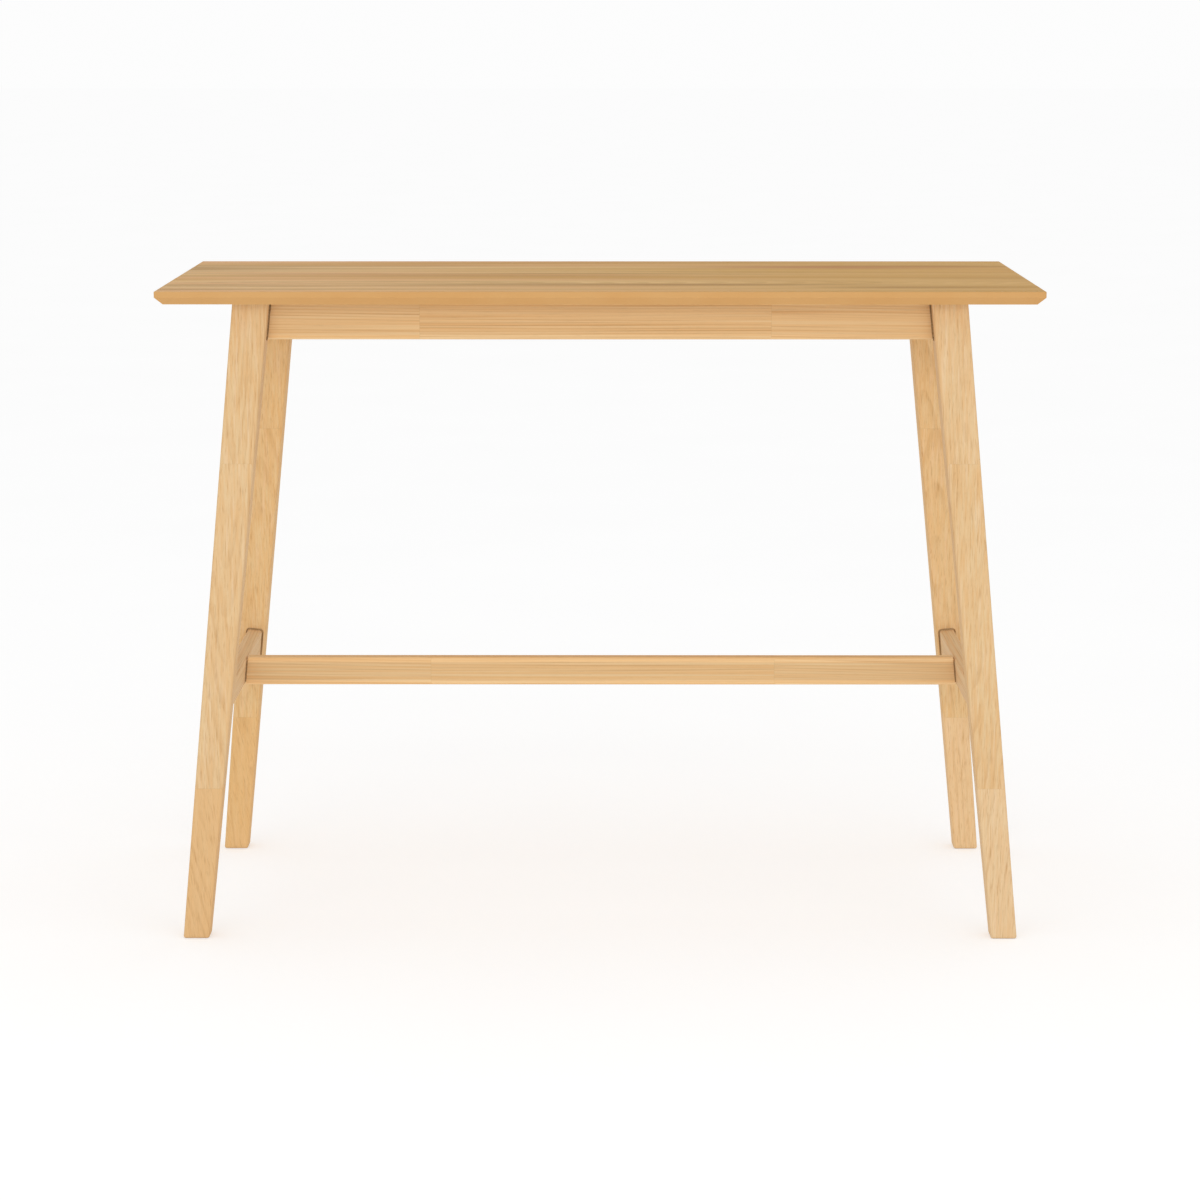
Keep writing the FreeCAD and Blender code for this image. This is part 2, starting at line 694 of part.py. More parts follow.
side_stretcher_body = make_rail("side_stretcher_body", *SIDE_STRETCHER, ABOVE_STRETCHER)
foot_rail_housing = snug_housing("foot_rail_housing", *FOOT_RAIL, ABOVE_STRETCHER)
right_side_stretcher = node("right_side_stretcher", cut("right_side_stretcher", side_stretcher_body, [
    both_sides("side_stretcher_holes", stretcher_holes),
    foot_rail_housing,
    *rail_holes,
    rail_bolt_hole,
    rail_bolt_recess,
]))
node("left_side_stretcher", mirrored("left_side_stretcher", right_side_stretcher, "x"))

foot_rail_body = make_rail("foot_rail_body", *FOOT_RAIL, ABOVE_STRETCHER)
node("foot_rail", cut("foot_rail", foot_rail_body, [
    both_ends("foot_rail_holes", rail_holes + [rail_bolt_hole, barrel_hole]),
]))

# ---------------------------------------------------------------- legs


def make_leg_blank():
    """The leg without its joinery: tapered in the front view, then in the side view, then eased."""
    body = new_body("leg_blank")
    floor = "Dim.glide_proud"

    def edge(centre, sign, z):
        return f"({centre(z)} {sign} {leg_half(z)})"

    front = new_sketch(body, "XZ_Plane")
    draw_polygon(front, [
        (edge(leg_centre_x, "-", floor), floor),
        (edge(leg_centre_x, "+", floor), floor),
        (edge(leg_centre_x, "+", LEG_TOP), LEG_TOP),
        (edge(leg_centre_x, "-", LEG_TOP), LEG_TOP),
    ])
    add_pad(body, front, "Dim.table_width", reverse=True)
    below = "(-Dim.foot_size)"
    above = f"({LEG_TOP} + Dim.foot_size)"
    outside = new_sketch(body, "YZ_Plane")
    draw_polygon(outside, [
        (edge(leg_centre_y, "+", below), below),
        ("2 * Dim.table_width", below),
        ("2 * Dim.table_width", above),
        (edge(leg_centre_y, "+", above), above),
    ])
    add_pocket(body, outside, BEYOND)
    inside = new_sketch(body, "YZ_Plane")
    draw_polygon(inside, [
        ("-Dim.foot_size", below),
        (edge(leg_centre_y, "-", below), below),
        (edge(leg_centre_y, "-", above), above),
        ("-Dim.foot_size", above),
    ])
    add_pocket(body, inside, BEYOND)

    def is_long_edge(item):
        return item.BoundBox.ZLength > item.BoundBox.XLength + item.BoundBox.YLength

    def is_foot_edge(item):
        return item.BoundBox.ZMax < DIMENSIONS["leg_edge_radius"]

    dress_edges(body, "PartDesign::Fillet", is_long_edge, Radius="Dim.leg_edge_radius")
    dress_edges(body, "PartDesign::Fillet", is_foot_edge, Radius="Dim.foot_edge_radius")
    return body


def make_leg_flat():
    """The prism that mills a vertical flat on the leg's inner corner, where the corner block bears."""
    body = new_body("leg_flat")
    bottom = f"({LEG_TOP} - Dim.leg_flat_height)"
    plan = new_sketch(body, "XY_Plane", f"placement(vector(0; 0; {bottom}); {UPRIGHT})")
    draw_polygon(plan, [("0", "0"), ("Dim.block_leg_face", "0"), ("0", "Dim.block_leg_face")])
    add_pad(body, plan, "2 * Dim.leg_flat_height")
    return body


def make_glide_hole():
    """The recess and pilot hole for a glide, as one tool."""
    foot = "Dim.foot_centre_x; Dim.foot_centre_y; 0"
    recess = drill("glide_recess", "Dim.glide_radius", "Dim.glide_thickness", foot)
    pilot = drill("glide_pilot", "Dim.glide_pin_radius",
                  "Dim.glide_thickness + Dim.glide_pin_length + Dim.drill_overrun", foot)
    return [recess, pilot]


back_right_leg = node("back_right_leg", cut("back_right_leg", make_leg_blank(), [
    open_housing("long_apron_housing", "Dim.apron_housing_clearance", *LONG_APRON, ABOVE_TOP),
    open_housing("side_apron_housing", "Dim.apron_housing_clearance", *SIDE_APRON, ABOVE_TOP),
    open_housing("side_stretcher_housing", "Dim.stretcher_housing_clearance", *SIDE_STRETCHER,
                 ABOVE_STRETCHER),
    make_leg_flat(),
    *long_apron_holes,
    *side_apron_holes,
    *stretcher_holes,
    hanger_hole,
    *make_glide_hole(),
]))
node("back_left_leg", mirrored("back_left_leg", back_right_leg, "x"))
node("front_right_leg", mirrored("front_right_leg", back_right_leg, "y"))
node("front_left_leg", mirrored("front_left_leg", back_right_leg, "x", "y"))

# ---------------------------------------------------------------- corner blocks and centre brace


def make_block_blank():
    """A block square to the corner's diagonal, between the inner faces of the two aprons."""
    body = new_body("corner_block_blank")
    plan = new_sketch(body, "XY_Plane", f"placement(vector(0; 0; {BLOCK_BOTTOM}); {UPRIGHT})")
    far_x = side_rail_x(BLOCK_BOTTOM)
    draw_polygon(plan, [
        (f"Dim.block_leg_face - {LONG_APRON_INNER_Y}", LONG_APRON_INNER_Y),
        (f"{BLOCK_INNER_FACE} - {LONG_APRON_INNER_Y}", LONG_APRON_INNER_Y),
        (far_x, f"{BLOCK_INNER_FACE} - {far_x}"),
        (far_x, f"Dim.block_leg_face - {far_x}"),
    ])
    add_pad(body, plan, "Dim.block_height")
    below = f"({BLOCK_BOTTOM} - Dim.block_height)"
    above = f"({LEG_TOP} + Dim.block_height)"
    bevel = new_sketch(body, "XZ_Plane")
    draw_polygon(bevel, [
        (side_apron_inner_x(below), below),
        (BEYOND, below),
        (BEYOND, above),
        (side_apron_inner_x(above), above),
    ])
    add_pocket(body, bevel, BEYOND)
    return body


back_right_block = node("back_right_corner_block", cut(
    "back_right_corner_block", make_block_blank(),
    [hanger_hole, block_top_hole, block_top_entry, *block_screw_tools]))
node("back_left_corner_block", mirrored("back_left_corner_block", back_right_block, "x"))
node("front_right_corner_block", mirrored("front_right_corner_block", back_right_block, "y"))
node("front_left_corner_block", mirrored("front_left_corner_block", back_right_block, "x", "y"))


def make_centre_brace():
    """A flat bar between the long aprons, against the underside of the top."""
    blank = doc.addObject("Part::Box", "centre_brace_blank")
    blank.setExpression("Length", "Dim.brace_width")
    blank.setExpression("Width", f"2 * {LONG_APRON_INNER_Y}")
    blank.setExpression("Height", "Dim.brace_thickness")
    corner = f"-Dim.brace_width / 2; -{LONG_APRON_INNER_Y}; {LEG_TOP} - Dim.brace_thickness"
    blank.setExpression("Placement", f"placement(vector({corner}); {UPRIGHT})")
    dowel_holes = both_sides("centre_brace_dowel_holes", brace_holes)
    screw_holes = four_corners("centre_brace_screw_holes", [brace_hole])
    return cut("centre_brace", blank, [dowel_holes, screw_holes])


node("centre_brace", make_centre_brace())

# ---------------------------------------------------------------- board top


def rectangle(half_length, half_width):
    """The corners of a rectangle about the origin."""
    return [
        (f"-{half_length}", f"-{half_width}"),
        (half_length, f"-{half_width}"),
        (half_length, half_width),
        (f"-{half_length}", half_width),
    ]


def make_board():
    """The whole top as one solid: a slab, bevelled underneath, with eased corners and top edge."""
    body = new_body("board")
    at_underside = f"placement(vector(0; 0; {LEG_TOP}); {UPRIGHT})"
    plan = new_sketch(body, "XY_Plane", at_underside)
    draw_polygon(plan, rectangle("Dim.table_length / 2", "Dim.table_width / 2"))
    add_pad(body, plan, "Dim.top_thickness")
    top = DIMENSIONS["table_height"]
    underside = top - DIMENSIONS["top_thickness"]

    def is_lower_edge(item):
        return item.BoundBox.ZMax < underside + 1

    def is_upper_edge(item):
        return item.BoundBox.ZMin > top - 1

    bevel = dress_edges(body, "PartDesign::Chamfer", is_lower_edge,
                        Size="Dim.bevel_drop", Size2="Dim.bevel_run")
    bevel.ChamferType = "Two distances"
    outside = new_sketch(body, "XY_Plane", at_underside)
    draw_rounded_rectangle(outside, "Dim.table_length", "Dim.table_width", "Dim.top_corner_radius")
    draw_polygon(outside, rectangle("Dim.table_length", "Dim.table_width"))
    add_pocket(body, outside, "4 * Dim.top_thickness")
    dress_edges(body, "PartDesign::Fillet", is_upper_edge, Radius="Dim.top_edge_radius")
    return body


def make_layer(name, board, bottom, thickness):
    """The part of the board between two heights."""
    slab = doc.addObject("Part::Box", f"{name}_slab")
    slab.setExpression("Length", "2 * Dim.table_length")
    slab.setExpression("Width", "2 * Dim.table_width")
    slab.setExpression("Height", thickness)
    corner = f"-Dim.table_length; -Dim.table_width; {bottom}"
    slab.setExpression("Placement", f"placement(vector({corner}); {UPRIGHT})")
    layer = doc.addObject("Part::Common", name)
    layer.Base = board
    layer.Tool = slab
    return layer


board = make_board()
node("tabletop_face_veneer", make_layer(
    "tabletop_face_veneer", board, "Dim.table_height - Dim.veneer_thickness", "Dim.veneer_thickness"))
backing = make_layer("backing_layer", board, LEG_TOP, "Dim.veneer_thickness")
core = make_layer("core_layer", board, f"{LEG_TOP} + Dim.veneer_thickness",
                  "Dim.top_thickness - 2 * Dim.veneer_thickness")
node("tabletop_backing_veneer", cut("tabletop_backing_veneer", backing, [top_screw_holes]))
node("tabletop_core", cut("tabletop_core", core, [top_screw_holes]))

# ---------------------------------------------------------------- glides

glide = turned(
    "glide",
    [
        ("0", "0"),
        ("Dim.glide_radius - Dim.glide_proud", "0"),
        ("Dim.glide_radius", "Dim.glide_proud"),
        ("Dim.glide_radius", "Dim.glide_thickness"),
        ("Dim.glide_pin_radius", "Dim.glide_thickness"),
        ("Dim.glide_pin_radius", "Dim.glide_thickness + Dim.glide_pin_length - Dim.glide_pin_radius"),
        ("0", "Dim.glide_thickness + Dim.glide_pin_length"),
    ],
    "Dim.foot_centre_x; Dim.foot_centre_y; 0",
)
node("back_right_glide", glide)
node("back_left_glide", mirrored("back_left_glide", glide, "x"))
node("front_right_glide", mirrored("front_right_glide", glide, "y"))
node("front_left_glide", mirrored("front_left_glide", glide, "x", "y"))

# ---------------------------------------------------------------- check and write


def check_document():
    """Stop on any failed object and on any sub-part that isn't a sound solid."""
    doc.recompute()
    for item in doc.Objects:
        if "Invalid" in item.State or "Error" in item.State:
            raise RuntimeError(f"{item.Label} is in state {item.State}")
    for name in node_names:
        shape = doc.getObjectsByLabel(name)[0].Shape
        if shape.isNull() or not shape.isValid() or not shape.Solids:
            raise RuntimeError(f"{name} has no valid solid")


def write_steps():
    os.makedirs("parts", exist_ok=True)
    for name in node_names:
        doc.getObjectsByLabel(name)[0].Shape.exportStep(os.path.join("parts", f"{name}.step"))


check_document()
write_steps()
print(f"{len(node_names)} sub-parts written")
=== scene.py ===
"""Looks of the high table: a material for every CAD node, then floor, studio light and camera.

Lengths are metres in the frame: X along the table, Y to its back, Z up from the floor.
"""

import math
import random
from collections import namedtuple

import bpy
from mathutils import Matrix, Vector


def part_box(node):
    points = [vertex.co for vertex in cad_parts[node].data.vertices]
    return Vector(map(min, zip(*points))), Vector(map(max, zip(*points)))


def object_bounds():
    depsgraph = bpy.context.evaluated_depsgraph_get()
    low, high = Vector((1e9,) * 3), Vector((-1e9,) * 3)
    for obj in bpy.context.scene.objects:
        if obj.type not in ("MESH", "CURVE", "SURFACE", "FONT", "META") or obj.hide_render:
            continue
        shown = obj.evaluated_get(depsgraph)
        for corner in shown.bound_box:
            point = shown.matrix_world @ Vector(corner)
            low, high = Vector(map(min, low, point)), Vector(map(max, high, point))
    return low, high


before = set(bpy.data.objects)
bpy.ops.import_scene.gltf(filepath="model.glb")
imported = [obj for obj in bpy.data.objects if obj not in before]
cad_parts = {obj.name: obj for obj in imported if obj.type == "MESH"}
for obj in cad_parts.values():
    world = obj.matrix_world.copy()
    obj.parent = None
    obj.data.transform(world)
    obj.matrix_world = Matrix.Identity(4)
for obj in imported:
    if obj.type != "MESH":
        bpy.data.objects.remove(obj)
cad_low, cad_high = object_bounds()

CORNERS = ("front_left", "front_right", "back_left", "back_right")
X = Vector((1, 0, 0))
Y = Vector((0, 1, 0))
Z = Vector((0, 0, 1))

# ---------------------------------------------------------------- colours


def srgb(red, green, blue):
    """Linear colour from 0 to 255 display values."""
    def linear(value):
        share = value / 255
        return share / 12.92 if share <= 0.04045 else ((share + 0.055) / 1.055) ** 2.4
    return linear(red), linear(green), linear(blue)


# A timber's early and late wood, its warm streaks and its pale ones.
Palette = namedtuple("Palette", "early late warm pale")

LACQUERED = Palette(
    early=srgb(227, 198, 154), late=srgb(185, 138, 87), warm=srgb(223, 180, 127), pale=srgb(237, 210, 174))
# A brighter copy of LACQUERED for the back legs: painted light that lifts the shade they stand in.
LIT_LACQUERED = Palette(
    early=srgb(232, 200, 150), late=srgb(190, 140, 86), warm=srgb(228, 183, 124), pale=srgb(240, 207, 167))
MELLOW = Palette(
    early=srgb(227, 195, 149), late=srgb(184, 136, 85), warm=srgb(222, 177, 122), pale=srgb(232, 209, 168))
RAW = Palette(
    early=srgb(220, 184, 140), late=srgb(180, 132, 88), warm=srgb(206, 162, 116), pale=srgb(226, 196, 156))
BEECH = Palette(
    early=srgb(218, 178, 138), late=srgb(190, 140, 98), warm=srgb(206, 160, 120), pale=srgb(226, 192, 156))
OAK_LIGHT = srgb(238, 201, 147)
OAK_DARK = srgb(148, 104, 50)
OAK_PINK = srgb(226, 170, 122)
OAK_RED = srgb(190, 128, 84)
OAK_OLIVE = srgb(208, 162, 88)
EDGE = srgb(211, 164, 106)
EDGE_DEEP = srgb(206, 154, 94)
# Painted shade: the dark brown mixed into the narrowest gaps between parts, where shade falls.
PAINTED_GAP_SHADE = srgb(140, 104, 62)
ZINC = srgb(196, 198, 202)
ZINC_BLUE = srgb(168, 172, 180)
NYLON = srgb(214, 210, 198)
NYLON_SCUFF = srgb(158, 152, 140)

# ---------------------------------------------------------------- node graphs

# Painted shade from an occlusion probe: how far it looks, how much dark brown the narrowest gaps take, and
# how dark surfaces near others are painted.
PAINTED_SHADE_REACH = 0.014
PAINTED_GAP_SHARE = 0.45
PAINTED_NEAR_SHADE = 0.96


def rgba(colour):
    """A colour triple with alpha added; sockets and colours with alpha pass through."""
    if isinstance(colour, bpy.types.NodeSocket) or len(colour) == 4:
        return colour
    return (*colour, 1.0)


class Graph:
    """A material's node tree, with one short call per kind of node."""

    def __init__(self, name):
        self.material = bpy.data.materials.new(name)
        self.material.use_nodes = True
        self.tree = self.material.node_tree
        self.tree.nodes.clear()
        self.place = self.node("ShaderNodeTexCoord").outputs["Object"]

    def node(self, kind, **settings):
        made = self.tree.nodes.new(kind)
        for key, value in settings.items():
            setattr(made, key, value)
        return made

    def feed(self, socket, value):
        """Link a socket to an input, or set the input to a plain value, or leave it for None."""
        if isinstance(value, bpy.types.NodeSocket):
            self.tree.links.new(value, socket)
        elif value is not None:
            socket.default_value = value

    def math(self, operation, first, second=None, third=None, clamp=False):
        made = self.node("ShaderNodeMath", operation=operation, use_clamp=clamp)
        for socket, value in zip(made.inputs, (first, second, third)):
            self.feed(socket, value)
        return made.outputs[0]

    def vector_math(self, operation, first, second=None):
        made = self.node("ShaderNodeVectorMath", operation=operation)
        for socket, value in zip(made.inputs, (first, second)):
            self.feed(socket, value)
        return made.outputs["Value" if operation in ("DOT_PRODUCT", "LENGTH") else "Vector"]

    def combine(self, x, y, z):
        made = self.node("ShaderNodeCombineXYZ")
        for socket, value in zip(made.inputs, (x, y, z)):
            self.feed(socket, value)
        return made.outputs[0]

    def separate(self, vector):
        made = self.node("ShaderNodeSeparateXYZ")
        self.feed(made.inputs[0], vector)
        return made.outputs

    def noise(self, vector, scale=1.0, detail=2.0, roughness=0.5):
        """Smooth noise from 0 to 1, averaging a half."""
        made = self.node("ShaderNodeTexNoise", noise_dimensions="3D")
        self.feed(made.inputs["Vector"], vector)
        self.feed(made.inputs["Scale"], scale)
        self.feed(made.inputs["Detail"], detail)
        self.feed(made.inputs["Roughness"], roughness)
        return made.outputs[0]

    def remap(self, value, low, high, to_low=0.0, to_high=1.0, smooth=True):
        """The value's stretch from low to high, moved to another range and clamped."""
        kind = "SMOOTHSTEP" if smooth else "LINEAR"
        made = self.node("ShaderNodeMapRange", interpolation_type=kind)
        for socket, part in zip(made.inputs, (value, low, high, to_low, to_high)):
            self.feed(socket, part)
        return made.outputs[0]

    def mix(self, factor, first, second, blend="MIX"):
        made = self.node("ShaderNodeMix", data_type="RGBA", blend_type=blend)
        colour_inputs = [item for item in made.inputs if item.type == "RGBA"]
        for socket, value in zip(colour_inputs, (rgba(first), rgba(second))):
            self.feed(socket, value)
        self.feed(made.inputs[0], factor)
        return next(item for item in made.outputs if item.type == "RGBA")

    def scaled(self, colour, factor):
        """The colour times a number."""
        return self.mix(1.0, colour, self.combine(factor, factor, factor), blend="MULTIPLY")

    def bump(self, height, strength, distance):
        made = self.node("ShaderNodeBump")
        self.feed(made.inputs["Height"], height)
        self.feed(made.inputs["Strength"], strength)
        self.feed(made.inputs["Distance"], distance)
        return made.outputs[0]

    def painted_shade(self, colour):
        """Painted shade: darken the colour near other surfaces, such as the apron under the top, and mix a
        dark brown into the narrowest gaps between parts.
        """
        occlusion = self.node("ShaderNodeAmbientOcclusion", samples=8)
        occlusion.inputs["Distance"].default_value = PAINTED_SHADE_REACH
        openness = occlusion.outputs["AO"]
        colour = self.scaled(colour, self.remap(openness, 0.50, 0.92, PAINTED_NEAR_SHADE, 1.0))
        return self.mix(self.remap(openness, 0.28, 0.10, 0.0, PAINTED_GAP_SHARE), colour, PAINTED_GAP_SHADE)

    def finish(self, colour, roughness, normal=None, **others):
        """Close the graph with a Principled surface."""
        surface = self.node("ShaderNodeBsdfPrincipled")
        self.feed(surface.inputs["Base Color"], rgba(colour))
        self.feed(surface.inputs["Roughness"], roughness)
        self.feed(surface.inputs["Normal"], normal)
        for key, value in others.items():
            self.feed(surface.inputs[key.replace("_", " ")], value)
        output = self.node("ShaderNodeOutputMaterial")
        self.tree.links.new(surface.outputs[0], output.inputs["Surface"])
        return self.material


# ---------------------------------------------------------------- the shape of a piece


def points_of(node):
    return [vertex.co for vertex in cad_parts[node].data.vertices]


def spread(points, axis):
    """Middle and half width of some points along an axis."""
    along = [point.dot(axis) for point in points]
    return (max(along) + min(along)) / 2, (max(along) - min(along)) / 2


# A straight piece of timber: its middle or foot, its grain and cross directions, half its cross section,
# and how much that grows and shifts per metre of grain.
Blank = namedtuple("Blank", "origin along across third half_u half_v taper lean_u lean_v")


def bar_blank(node, along, across):
    """The blank of a rail or block, centred on its mesh."""
    third = along.cross(across)
    points = points_of(node)
    middles = [spread(points, axis) for axis in (along, across, third)]
    origin = along * middles[0][0] + across * middles[1][0] + third * middles[2][0]
    return Blank(origin, along, across, third, half_u=middles[1][1], half_v=middles[2][1],
                 taper=0.0, lean_u=0.0, lean_v=0.0)


def leg_blank(node):
    """The blank of a leg: upright grain, from its foot, leaning and growing to its head."""
    points = points_of(node)
    top = max(point.z for point in points)
    foot = [point for point in points if point.z < 0.01]
    head = [point for point in points if point.z > top - 0.001]
    (foot_x, foot_half), (head_x, head_half) = spread(foot, X), spread(head, X)
    foot_y, head_y = spread(foot, Y)[0], spread(head, Y)[0]
    return Blank(Vector((foot_x, foot_y, 0)), Z, X, Y, half_u=foot_half, half_v=foot_half,
                 taper=(head_half - foot_half) / top,
                 lean_u=(head_x - foot_x) / top, lean_v=(head_y - foot_y) / top)


# ---------------------------------------------------------------- noise along the grain

# Noise drawn out along the grain: cycles per metre across and along it, a step that sets it apart from
# the others, and its octaves and their roughness.
Noise = namedtuple("Noise", "across along step detail roughness", defaults=(0.5,))


def grain_noise(graph, axes, shift, noise):
    """Noise from 0 to 1 in grain space: axes are across, third and along; shift moves the sample."""
    u, v, w = axes
    moved = graph.math("ADD", shift, noise.step)
    point = graph.combine(
        graph.math("MULTIPLY_ADD", u, noise.across, moved),
        graph.math("MULTIPLY_ADD", v, noise.across, graph.math("MULTIPLY", moved, 1.7)),
        graph.math("MULTIPLY_ADD", w, noise.along, graph.math("MULTIPLY", moved, 0.6)),
    )
    return graph.noise(point, detail=noise.detail, roughness=noise.roughness)


# ---------------------------------------------------------------- timber

# How a piece is sawn and joined up. rings: ring spacing. pith: where the tree's middle was, across the
# grain from the blank's. joints: where finger joints cross the grain, measured from the blank's origin.
# tones: paleness of each length between joints, -1 to 1. leans: how far each length's grain strays
# sideways per metre.
Figure = namedtuple("Figure", "seed rings pith joints tones leans")

# The paler margin along a face's edges: how far in it begins and is full, and how much paler it is.
Margin = namedtuple("Margin", "begins full lift")

FINGER_DEPTH = 0.010
FINGER_PITCH = 0.0038
GLUE_LINE = 0.00025
LENGTH_STEP = 7.3

RING_DRIFT = 0.015
RING_SWAY = 0.010
RING_WAVER = 0.0012
SWAY = Noise(across=12, along=1.2, step=0, detail=2)
WAVER = Noise(across=70, along=4, step=9, detail=3)
RING_STRENGTH = Noise(across=45, along=1.2, step=5, detail=2)

RIBBON = Noise(across=260, along=1.2, step=21, detail=3, roughness=0.6)
THREAD = Noise(across=520, along=2.2, step=27, detail=2, roughness=0.6)
DRIFT = Noise(across=26, along=0.7, step=33, detail=2)
BLUSH = Noise(across=160, along=0.8, step=51, detail=2)
FIBRE = Noise(across=1100, along=5, step=2, detail=3, roughness=0.7)
PORE = Noise(across=1500, along=40, step=12, detail=1)

ARRIS_WIDTH = 0.0045
ARRIS_CREST = 0.001
SOFT_MARGIN = Margin(begins=0.016, full=0.003, lift=0.01)
GRAIN_RELIEF = 0.0003
SATIN = 0.55
SEALED = 0.62
WOOD_SPECULAR = 0.02


def lengths(graph, v, w, figure, start):
    """Each length's paleness, lean and noise shift, and the glue lines of the joints between them."""
    tone, lean, shift, glue = figure.tones[0], figure.leans[0], start, 0.0
    wave = graph.math("PINGPONG", v, FINGER_PITCH / 2)
    fingered = graph.math("MULTIPLY_ADD", wave, 2 * FINGER_DEPTH / FINGER_PITCH, w)
    for index, joint in enumerate(figure.joints):
        past = graph.math("GREATER_THAN", fingered, joint)
        tone = graph.math("MULTIPLY_ADD", past, figure.tones[index + 1] - figure.tones[index], tone)
        lean = graph.math("MULTIPLY_ADD", past, figure.leans[index + 1] - figure.leans[index], lean)
        shift = graph.math("MULTIPLY_ADD", past, LENGTH_STEP, shift)
        gap = graph.math("ABSOLUTE", graph.math("SUBTRACT", fingered, joint))
        line = graph.remap(gap, GLUE_LINE, 3 * GLUE_LINE, 1.0, 0.0)
        glue = graph.math("MAXIMUM", glue, line)
    return tone, lean, shift, glue


def growth_rings(graph, axes, shift, figure):
    """Late wood strength, 0 to 1, of wavering rings round a pith that leans along the grain."""
    u, v, w = axes
    ring_u = graph.math("SUBTRACT", u, figure.pith[0])
    ring_v = graph.math("MULTIPLY_ADD", w, RING_DRIFT, graph.math("SUBTRACT", v, figure.pith[1]))
    radius = graph.vector_math("LENGTH", graph.combine(ring_u, ring_v, 0.0))
    radius = graph.math("MULTIPLY_ADD", grain_noise(graph, axes, shift, SWAY), RING_SWAY, radius)
    radius = graph.math("MULTIPLY_ADD", grain_noise(graph, axes, shift, WAVER), RING_WAVER, radius)
    phase = graph.math("FRACT", graph.math("DIVIDE", radius, figure.rings))
    late = graph.math("MULTIPLY", graph.remap(phase, 0.45, 0.88), graph.remap(phase, 1.0, 0.93))
    strength = graph.remap(grain_noise(graph, axes, shift, RING_STRENGTH), 0.40, 0.62)
    return graph.math("MULTIPLY", late, strength)


def arris_distance(graph, axes, blank):
    """Distance from a point on the piece's skin to its nearest long edge."""
    u, v, w = axes
    growth = graph.math("MULTIPLY", w, blank.taper)
    from_u = graph.math("ABSOLUTE", graph.math("MULTIPLY_ADD", w, -blank.lean_u, u))
    from_v = graph.math("ABSOLUTE", graph.math("MULTIPLY_ADD", w, -blank.lean_v, v))
    return graph.math(
        "MAXIMUM",
        graph.math("SUBTRACT", graph.math("ADD", growth, blank.half_u), from_u),
        graph.math("SUBTRACT", graph.math("ADD", growth, blank.half_v), from_v),
    )


def timber(name, blank, figure, palette, margin=SOFT_MARGIN, gloss=SATIN):
    """Solid timber: finger-jointed lengths with rings, streaks, fibres and pores, rubbed arrises, and
    painted shade near other surfaces and in gaps.
    """
    graph = Graph(name)
    start = random.Random(figure.seed).uniform(3, 40)
    from_origin = graph.vector_math("SUBTRACT", graph.place, tuple(blank.origin))
    axes = [graph.vector_math("DOT_PRODUCT", from_origin, tuple(axis))
            for axis in (blank.across, blank.third, blank.along)]
    tone, lean, shift, glue = lengths(graph, axes[1], axes[2], figure, start)
    leaning_axes = [graph.math("MULTIPLY_ADD", axes[2], lean, axes[0]), axes[1], axes[2]]

    late = growth_rings(graph, leaning_axes, shift, figure)
    thread = grain_noise(graph, leaning_axes, shift, THREAD)
    ribbon, drift, blush, fibre, pore = (
        grain_noise(graph, axes, shift, noise) for noise in (RIBBON, DRIFT, BLUSH, FIBRE, PORE))
    pore = graph.remap(pore, 0.64, 0.74)

    streaked = graph.remap(ribbon, 0.36, 0.62, 0.05, 0.80, smooth=False)
    colour = graph.mix(streaked, palette.early, palette.warm)
    colour = graph.mix(graph.remap(drift, 0.36, 0.66, 0.0, 0.22), colour, palette.warm)
    colour = graph.mix(graph.remap(blush, 0.50, 0.70, 0.0, 0.35), colour, palette.pale)
    colour = graph.mix(graph.remap(tone, 0.0, 1.0, 0.0, 0.55, smooth=False), colour, palette.pale)
    colour = graph.mix(graph.remap(tone, 0.0, -1.0, 0.0, 0.80, smooth=False), colour, palette.warm)
    lines = graph.math("MULTIPLY_ADD", late, 0.21, graph.remap(thread, 0.52, 0.74, 0.0, 0.46), clamp=True)
    colour = graph.mix(lines, colour, palette.late)

    edge = arris_distance(graph, axes, blank)
    worn = graph.remap(ribbon, 0.3, 0.6, 0.35, 1.0)
    rubbed = graph.math("MULTIPLY", graph.remap(edge, ARRIS_WIDTH, ARRIS_CREST), worn)
    # Paler towards each face's long edges, by the margin's lift.
    edge_margin = graph.remap(edge, margin.begins, margin.full)
    lift = graph.math("MULTIPLY_ADD", edge_margin, margin.lift, 1.0)
    lift = graph.math("MULTIPLY_ADD", rubbed, 0.01, lift)
    tint = graph.remap(fibre, 0.25, 0.75, 0.95, 1.045, smooth=False)
    tint = graph.math("SUBTRACT", tint, graph.math("MULTIPLY", pore, 0.10))
    tint = graph.math("SUBTRACT", tint, graph.math("MULTIPLY", glue, 0.07))
    colour = graph.scaled(colour, graph.math("MULTIPLY", tint, lift))
    # Painted shade near other surfaces and in the gaps between parts.
    colour = graph.painted_shade(colour)

    height = graph.math("MULTIPLY_ADD", late, 0.25, graph.math("MULTIPLY", fibre, 0.6))
    height = graph.math("SUBTRACT", height, graph.math("MULTIPLY", pore, 0.8))
    height = graph.math("SUBTRACT", height, graph.math("MULTIPLY", glue, 0.5))
    normal = graph.bump(height, 0.16, GRAIN_RELIEF)
    shine = graph.math("MULTIPLY_ADD", pore, 0.12, gloss - 0.05)
    shine = graph.math("MULTIPLY_ADD", fibre, 0.10, shine)
    shine = graph.math("SUBTRACT", shine, graph.math("MULTIPLY", rubbed, 0.06))
    return graph.finish(colour, shine, normal, Specular_IOR_Level=WOOD_SPECULAR)


# ---------------------------------------------------------------- board finishes

# A long streak in a veneer's figure: its middle, its half length and half width, its colour, and how
# strong it is at its middle.
Streak = namedtuple("Streak", "x y half_length half_width colour strength")

